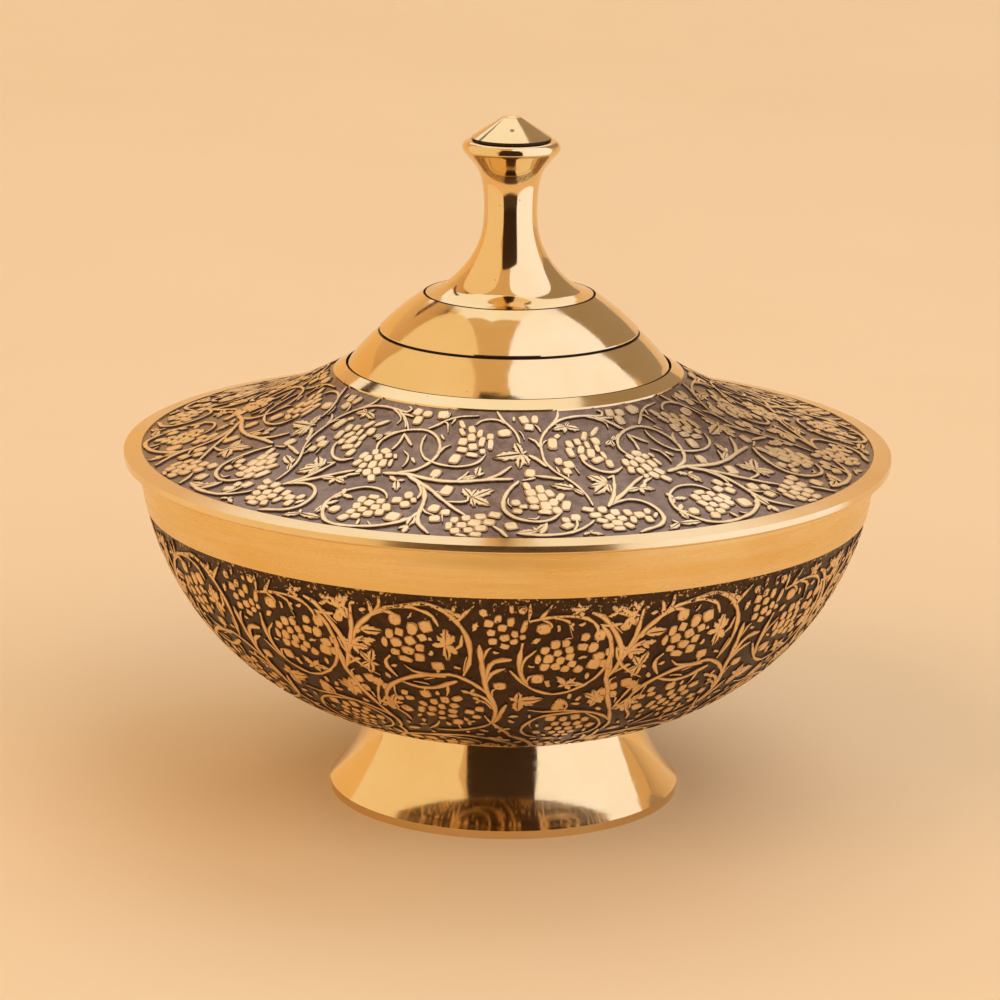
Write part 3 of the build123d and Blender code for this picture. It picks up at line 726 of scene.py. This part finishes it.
class Scroll:
    """Collects the raised solids of one tile of the drawing."""

    SUNK = -0.08  # the solids start below the ground
    WALL_TOP = (0.96, 0.6)  # where a blob's wall ends: shares of its outline and height

    def __init__(self, height, shoulder, flat, growth, spacing, corners):
        self.height = height
        self.shoulder = shoulder
        self.flat = flat
        self.spacing = spacing  # along a stem
        self.corners = corners  # of a berry
        self.berry_growth, self.leaf_growth, self.stem_growth = growth
        self.vertices = []
        self.faces = []
        self.skins = []

    def add_face(self, corners, skin):
        self.faces.append(tuple(corners))
        self.skins.append(skin)

    def add_blob(self, outline, middle, height):
        """A raised island: sides in dark patina that also paints the shade at its foot, shoulders in
        painted shade, and a slightly crowned top.
        """
        first, count = len(self.vertices), len(outline)
        across, up = self.WALL_TOP
        for share, lift in ((1, self.SUNK), (across, up * height), (self.flat, self.shoulder * height)):
            self.vertices += [(*place, lift) for place in share * (outline - middle) + middle]
        self.vertices.append((*middle, height))
        for low, skin in ((first, WALL), (first + count, EDGE)):
            for i in range(count):
                j = (i + 1) % count
                self.add_face((low + i, low + j, low + count + j, low + count + i), skin)
        last = first + 2 * count
        for i in range(count):
            self.add_face((last + i, last + (i + 1) % count, last + count), TOP)

    def add_berry(self, x, y, width, height, tilt, serial):
        """A rounded square or lozenge, a little different each time."""
        lean = math.radians(tilt + 14 * varied(serial, 7.1))
        squareness = 0.62 + 0.14 * varied(serial, 3.7)
        grown = self.berry_growth * (1 + 0.06 * varied(serial, 4.3))
        width *= grown / 2
        height *= grown / 2
        turns = [2 * math.pi * step / self.corners for step in range(self.corners)]
        outline = [
            (width * rounded(math.cos(turn), squareness), height * rounded(math.sin(turn), squareness))
            for turn in turns
        ]
        placed = laid(outline, (x, y), (math.cos(lean), math.sin(lean)))
        self.add_blob(placed, (x, y), self.height * (0.95 + 0.05 * varied(serial, 5.3)))

    def add_lobe(self, root, tip, serial, vein=0.0):
        """One pointed lobe of a leaf, toothed on both sides and split by its vein if it has one."""
        wide = (0.21 + 0.05 * varied(serial, 2.9)) * self.leaf_growth
        right = [(along, side * wide) for along, side in LOBE_SIDE]
        if vein:
            right += [(1.02, 0.3 * vein), (0.5, vein), (-0.08, vein)]
            middles = [(0.46, 0.42 * wide), (0.46, -0.42 * wide)]
        else:
            right.append((1.04, 0))
            middles = [(0.5, 0)]
        left = [(along, -side) for along, side in reversed(right)]
        outlines = [right, left] if vein else [right + left[1:]]
        top = self.height * (0.96 + 0.03 * varied(serial, 2.3))
        for outline, middle in zip(outlines, middles):
            placed = laid([*outline, middle], root, np.subtract(tip, root))
            self.add_blob(placed[-2::-1], placed[-1], top)

    def add_stem(self, points, start_width, end_width, serial):
        """A ribbon through the points, narrowing to both ends."""
        route, shares = smooth_route(points, self.spacing)
        top = self.height * (0.97 + 0.05 * varied(serial, 1.7))
        first, count = len(self.vertices), len(STEM_PROFILE)
        for i, place in enumerate(route):
            ahead = route[min(i + 1, len(route) - 1)] - route[max(i - 1, 0)]
            side = np.array([-ahead[1], ahead[0]]) / math.hypot(*ahead)
            half = (start_width + (end_width - start_width) * shares[i]) / 2 * self.stem_growth
            half *= 1 + 0.08 * math.sin(1.3 * i + serial)
            half *= min(1, 0.45 + 0.4 * min(i, len(route) - 1 - i))
            for across, lift in STEM_PROFILE:
                rise = self.SUNK if lift is None else lift * top
                self.vertices.append((*(place + across * half * side), rise))
        last = first + (len(route) - 1) * count
        for low in range(first, last, count):
            for j, skin in enumerate(STEM_SKINS):
                self.add_face((low + j, low + count + j, low + count + j + 1, low + j + 1), skin)
        self.add_face(range(first, first + count), WALL)
        self.add_face(reversed(range(last, last + count)), WALL)


def smooth_route(points, spacing=1.5):
    """Points on a Catmull-Rom curve, and each one's share of its length."""
    places = np.array(points)
    chain = [2 * places[0] - places[1], *places, 2 * places[-1] - places[-2]]
    route = []
    for a, b, c, d in zip(chain, chain[1:], chain[2:], chain[3:]):
        steps = max(2, round(math.dist(b, c) / spacing))
        for t in [step / steps for step in range(steps)]:
            bend = (2 * a - 5 * b + 4 * c - d) * t**2 + (3 * b - a - 3 * c + d) * t**3
            route.append((2 * b + (c - a) * t + bend) / 2)
    route.append(places[-1])
    lengths = np.cumsum([0, *(math.dist(a, b) for a, b in zip(route, route[1:]))])
    return route, lengths / lengths[-1]


LEAF_ROOM = 0.7  # half the width that is kept free along a lobe
FILL_STEP = 1.5  # between the places where a small leaf or dot may grow
FILL_MARGIN = 2.0  # at both edges of the field
FILL_SHIFT = 0.4  # the most a place is moved
LEAST_FILL = 0.55  # half the size of the smallest dot
LEAST_LEAF = 0.8  # half the length of the smallest leaf


def taken_places(drawn, period):
    """Where a tile and its neighbours already hold something: x, y and half a width."""
    stems, berries, leaves = drawn
    taken = []
    for points, start_width, end_width in stems:
        taken += [(x, y, max(start_width, end_width) / 2) for x, y in smooth_route(points)[0]]
    taken += [(x, y, max(width, height) / 2) for x, y, width, height, _ in berries]
    for middle, tips in leaves:
        for tip in tips:
            along = [(share, 0) for share in (0.2, 0.5, 0.8, 1.0)]
            taken += [(x, y, LEAF_ROOM) for x, y in laid(along, middle, np.subtract(tip, middle))]
    return np.array([(x + turn * period, y, half) for x, y, half in taken for turn in (-1, 0, 1)])


def fill_gaps(field, drawn, period, scroll, margin):
    """Small leaves and dots in the open ground, as the drawing has between its loops."""
    taken = taken_places(drawn, period)
    lowest = max(y for points, _, _ in drawn[0] for _, y in points)
    serial = 0
    y = FILL_MARGIN
    while y < min(lowest, field.along[-1] - FILL_MARGIN):
        local = field.widest / field.at(y, field.radius)  # the drawing's scale there
        columns = round(period / (FILL_STEP * local))
        for column in range(columns):
            serial += 1
            across = period * (column / columns - 0.5) + FILL_SHIFT * local * varied(serial, 12.9)
            spot = np.array([across, y + FILL_SHIFT * local * varied(serial, 7.3)])
            room = (np.hypot(*(taken[:, :2] - spot).T) - taken[:, 2]).min()
            half = min(room - margin * local, FILL_STEP * local)
            if half < LEAST_FILL * local:
                continue
            lean = 2.4 * serial
            if half > LEAST_LEAF * local:
                ahead = np.array([math.cos(lean), math.sin(lean)]) * half
                scroll.add_lobe(spot - ahead, spot + 0.9 * ahead, serial)
            else:
                scroll.add_berry(*spot, 1.1 * half, 2.3 * half, math.degrees(lean), serial)
            for turn in (-1, 0, 1):
                taken = np.vstack([taken, (spot[0] + turn * period, spot[1], half)])
        y += FILL_STEP * local


def roughened(tile, amount):
    """Etched outlines are never clean: every point is pushed a little, its neighbours with it."""
    x, y, lift = tile.T
    push_x = np.sin(4.1 * x + 2.3 * y) + np.sin(5.3 * y - 2.9 * x + 1.7)
    push_y = np.sin(3.7 * y - 3.1 * x) + np.sin(5.9 * x + 1.9 * y + 0.6)
    return np.stack([x + amount * push_x / 2, y + amount * push_y / 2, lift], axis=1)


def carve(name, field, drawn, repeats, scroll, skins, rough, margin=None):
    """Builds one tile of a drawing, repeats it around the vessel and returns the object."""
    stems, berries, leaves = drawn
    for serial, stem in enumerate(stems):
        scroll.add_stem(*stem, serial)
    for serial, berry in enumerate(berries):
        scroll.add_berry(*berry, serial)
    for middle, tips in leaves:
        for serial, tip in enumerate(tips):
            scroll.add_lobe(middle, tip, serial, vein=VEIN if math.dist(middle, tip) > VEINED_LOBE else 0)
    period = 2 * math.pi * field.widest / repeats
    if margin:
        fill_gaps(field, drawn, period, scroll, margin)
    tile = roughened(np.array(scroll.vertices), rough)
    everywhere = np.concatenate([tile + (turn * period, 0, 0) for turn in range(repeats)])
    faces = [tuple(v + turn * len(tile) for v in face) for turn in range(repeats) for face in scroll.faces]
    relief = add_mesh(name, field.place(everywhere).tolist(), faces, *skins)
    for face, skin in zip(relief.data.polygons, scroll.skins * repeats):
        face.material_index = skin
    relief.data.validate()
    return relief


lid_relief = carve(
    "lid_vine_relief",
    Field(nodes["lid_brim"], LID_GROUND, order=0, facing=1),
    LID_DRAWING,
    LID_REPEATS,
    Scroll(0.38, shoulder=0.95, flat=0.74, growth=(1.40, 1.2, 1.1), spacing=1.15, corners=10),
    (LID_RAISED, GROOVE, LID_SHOULDER_SHADE),
    rough=0.11,
)
bowl_relief = carve(
    "bowl_vine_relief",
    Field(nodes["bowl"], BOWL_GROUND, order=1, facing=-1),
    BOWL_DRAWING,
    BOWL_REPEATS,
    Scroll(0.30, shoulder=0.96, flat=0.78, growth=(1.15, 1.26, 1.05), spacing=1.75, corners=8),
    (BOWL_RAISED, GROOVE, BOWL_SHOULDER_SHADE),
    rough=0.17,
    margin=0.55,
)
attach(lid_relief, "lid")
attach(bowl_relief, "bowl_body")


# -------- studio
FLOOR_HALF_WIDTH = 3.0
FLOOR_FRONT = -2.5
BACKDROP_START = 1.0
BACKDROP_RADIUS = 1.2
BACKDROP_TOP = 4.0
BACKDROP_STEPS = 24
PAPER_GRAIN = 0.0001


def paper_material():
    material, tree, shader = new_material("paper", {"Roughness": 0.95, "Specular IOR Level": 0.2})
    tone = remap(tree, add_noise(tree, 6, 6, 0.6), (0.3, 0.7), (0, 1))
    colour = mix_colour(tree, tone, (0.79, 0.625, 0.395), (0.77, 0.605, 0.375))
    tree.links.new(colour, shader.inputs["Base Color"])
    add_bump(tree, shader, add_noise(tree, 900, 3), 0.1, PAPER_GRAIN)
    return material


floor_profile = [(FLOOR_FRONT, 0.0)]
for step in range(BACKDROP_STEPS + 1):
    angle = math.radians(90 * step / BACKDROP_STEPS)
    rise = BACKDROP_RADIUS * (1 - math.cos(angle))
    floor_profile.append((BACKDROP_START + BACKDROP_RADIUS * math.sin(angle), rise))
floor_profile.append((BACKDROP_START + BACKDROP_RADIUS, BACKDROP_TOP))
floor = add_mesh(
    "backdrop",
    [(side * FLOOR_HALF_WIDTH, y, z) for y, z in floor_profile for side in (-1, 1)],
    [(2 * i, 2 * i + 1, 2 * i + 3, 2 * i + 2) for i in range(len(floor_profile) - 1)],
    paper_material(),
)
floor.data.shade_smooth()

AIM = Vector((0, 0, 0.07))  # the middle of the vessel


def seen_from_vessel(azimuth, elevation, distance):
    """A place around the vessel; azimuth 0 is the camera's side and 90 the picture's right."""
    turn = math.radians(azimuth)
    rise = math.radians(elevation)
    level = distance * math.cos(rise)
    return Vector((level * math.sin(turn), -level * math.cos(turn), distance * math.sin(rise))) + AIM


def paper_light(name, azimuth, elevation, distance, width, radiance, colour):
    """A round area light of a given brightness, that neither the camera nor a reflection shows."""
    light = bpy.data.lights.new(name, "AREA")
    light.shape = "DISK"
    light.size = width
    light.energy = radiance * math.pi * (math.pi / 4 * width * width)
    light.color = colour
    lamp = add_object(name, light)
    lamp.location = seen_from_vessel(azimuth, elevation, distance)
    lamp.rotation_euler = (AIM - lamp.location).to_track_quat("-Z", "Y").to_euler()
    lamp.visible_camera = False
    lamp.visible_glossy = False


# what lights the paper and draws the soft shadow, where the metal mirrors the panels
WARM_LIGHT = (1, 0.7, 0.46)
paper_light("back_light", 165, 66, 3.0, 2.6, 1.5, (0.82, 0.9, 1.0))
paper_light("right_light", 67, 49, 3.5, 5.4, 1.05, (0.87, 0.91, 1.05))
paper_light("left_light", -82, 33, 3.5, 5.8, 0.9, (1, 0.71, 0.46))
paper_light("front_right_light", 30, 34, 3.5, 3.6, 1.8, WARM_LIGHT)
paper_light("front_left_light", -40, 34, 3.5, 3.6, 1.75, WARM_LIGHT)


# -------- what the metal mirrors
LIT_TABLE = 0.33  # how near the vessel the lit stretch of table begins
OVER_TABLE = 0.001  # keeps what lies on the table off the paper
ARCH_STEPS = 16
PANEL_FOOT = -4  # elevation of a panel's lower corners


def towards(azimuth, elevation):
    return (seen_from_vessel(azimuth, elevation, 1.0) - AIM).normalized()


def round_top(azimuth, elevation, radius, feet):
    """A panel's corners as azimuths and elevations: a round top, and sides that run to the table."""
    ahead = towards(azimuth, elevation)
    across = Vector((-ahead.y, ahead.x, 0)).normalized()
    upward = ahead.cross(across)
    corners = []
    for step in range(ARCH_STEPS + 1):
        bearing = math.pi * step / ARCH_STEPS
        edge = math.sin(math.radians(radius)) * (upward * math.sin(bearing) - across * math.cos(bearing))
        point = math.cos(math.radians(radius)) * ahead + edge
        corners.append((math.degrees(math.atan2(point.x, -point.y)), math.degrees(math.asin(point.z))))
    return [(feet[0], PANEL_FOOT), *corners, (feet[1], PANEL_FOOT)]


def only_reflected(obj):
    obj.visible_camera = False
    obj.visible_diffuse = False
    obj.visible_shadow = False


def panel(name, middle, corners, distance, colour, feet=None):
    """A flat glowing panel, and the lit stretch of table before it, that only reflections show."""
    ahead = towards(*middle)
    places = [AIM + distance / towards(*corner).dot(ahead) * towards(*corner) for corner in corners]
    faces = [tuple(range(len(places)))]
    if feet:
        near = [seen_from_vessel(azimuth, 0, LIT_TABLE) for azimuth in feet]
        first = len(places)
        places += [Vector((place.x, place.y, OVER_TABLE)) for place in (*near, places[-1], places[0])]
        faces.append(tuple(range(first, first + 4)))
    values = {"Base Color": (0, 0, 0, 1), "Specular IOR Level": 0, "Emission Strength": 1.0}
    glow = new_material(name + "_glow", {**values, "Emission Color": (*colour, 1)})[0]
    shown = add_mesh(name, places, faces, glow)
    only_reflected(shown)


LEFT_FEET = (-115, -30)
RIGHT_FEET = (25, 108)
BACK_WINDOW = [(126, 56), (148, 30), (180, 26), (-150, 28), (-122, 63), (-120, 80), (120, 80)]
STAND = [(-142, 31), (-145, 30), (-151, 42), (-147, 45)]
DIM_WALL = [(113, 58), (120, 70), (140, 64), (152, 40), (165, 16), (150, 8), (124, 20), (112, 36)]
WARM_WALL = [(-118, -3), (-118, 20), (-132, 24), (-150, 20), (-168, 14), (-168, -3)]
panel("left_panel", (-82, 33), round_top(-82, 33, 40, LEFT_FEET), 1.0, (1.02, 0.77, 0.48), LEFT_FEET)
panel("right_panel", (67, 49), round_top(67, 49, 37.5, RIGHT_FEET), 1.0, (1.2, 1.22, 1.5), RIGHT_FEET)
panel("back_window", (180, 52), BACK_WINDOW, 1.4, (1.15, 1.12, 1.15))
panel("dark_stand", (-145, 35), STAND, 0.9, (0.08, 0.04, 0.02))
panel("dim_wall", (135, 38), DIM_WALL, 1.3, (0.40, 0.29, 0.19))
panel("warm_wall", (-143, 10), WARM_WALL, 1.3, (0.95, 0.56, 0.22))

# the dark room behind the camera, which the metal mirrors as a dark panel
OVER_PANELS = 0.0015
ROOM_TABLE = [(-0.17, -0.27), (0.15, -0.27), (0.25, -0.5), (-0.285, -0.5)]
ROOM_TOP = [(0.25, -0.5, 0.8), (-0.285, -0.5, 1.05)]
cloth = new_material("dark_cloth", {"Base Color": (0.035, 0.02, 0.01, 1), "Roughness": 1.0})[0]
flag = add_mesh(
    "dark_room",
    [(x, y, OVER_PANELS) for x, y in ROOM_TABLE] + ROOM_TOP,
    [(0, 1, 2, 3), (3, 2, 4, 5)],
    cloth,
)
only_reflected(flag)

world = bpy.data.worlds.new("studio")
bpy.context.scene.world = world
world.use_nodes = True
set_values(world.node_tree.nodes["Background"], {"Color": (0.78, 0.50, 0.25, 1), "Strength": 1.0})
world.cycles_visibility.diffuse = False
bpy.context.scene.view_settings.view_transform = "Standard"

# -------- camera
CAMERA_DISTANCE = 0.800
CAMERA_HEIGHT = 0.27235
CAMERA_PITCH = math.radians(14.721)  # looking down
CAMERA_ROLL = 0.0123
CAMERA_SIDE = -0.00145
camera_data = bpy.data.cameras.new("camera")
camera_data.lens = 141.76
camera_data.clip_start = 0.05
camera = add_object("camera", camera_data)
camera.matrix_world = (
    Matrix.Translation((CAMERA_SIDE, -CAMERA_DISTANCE, CAMERA_HEIGHT))
    @ Matrix.Rotation(math.radians(90) - CAMERA_PITCH, 4, "X")
    @ Matrix.Rotation(CAMERA_ROLL, 4, "Z")
)
bpy.context.scene.camera = camera
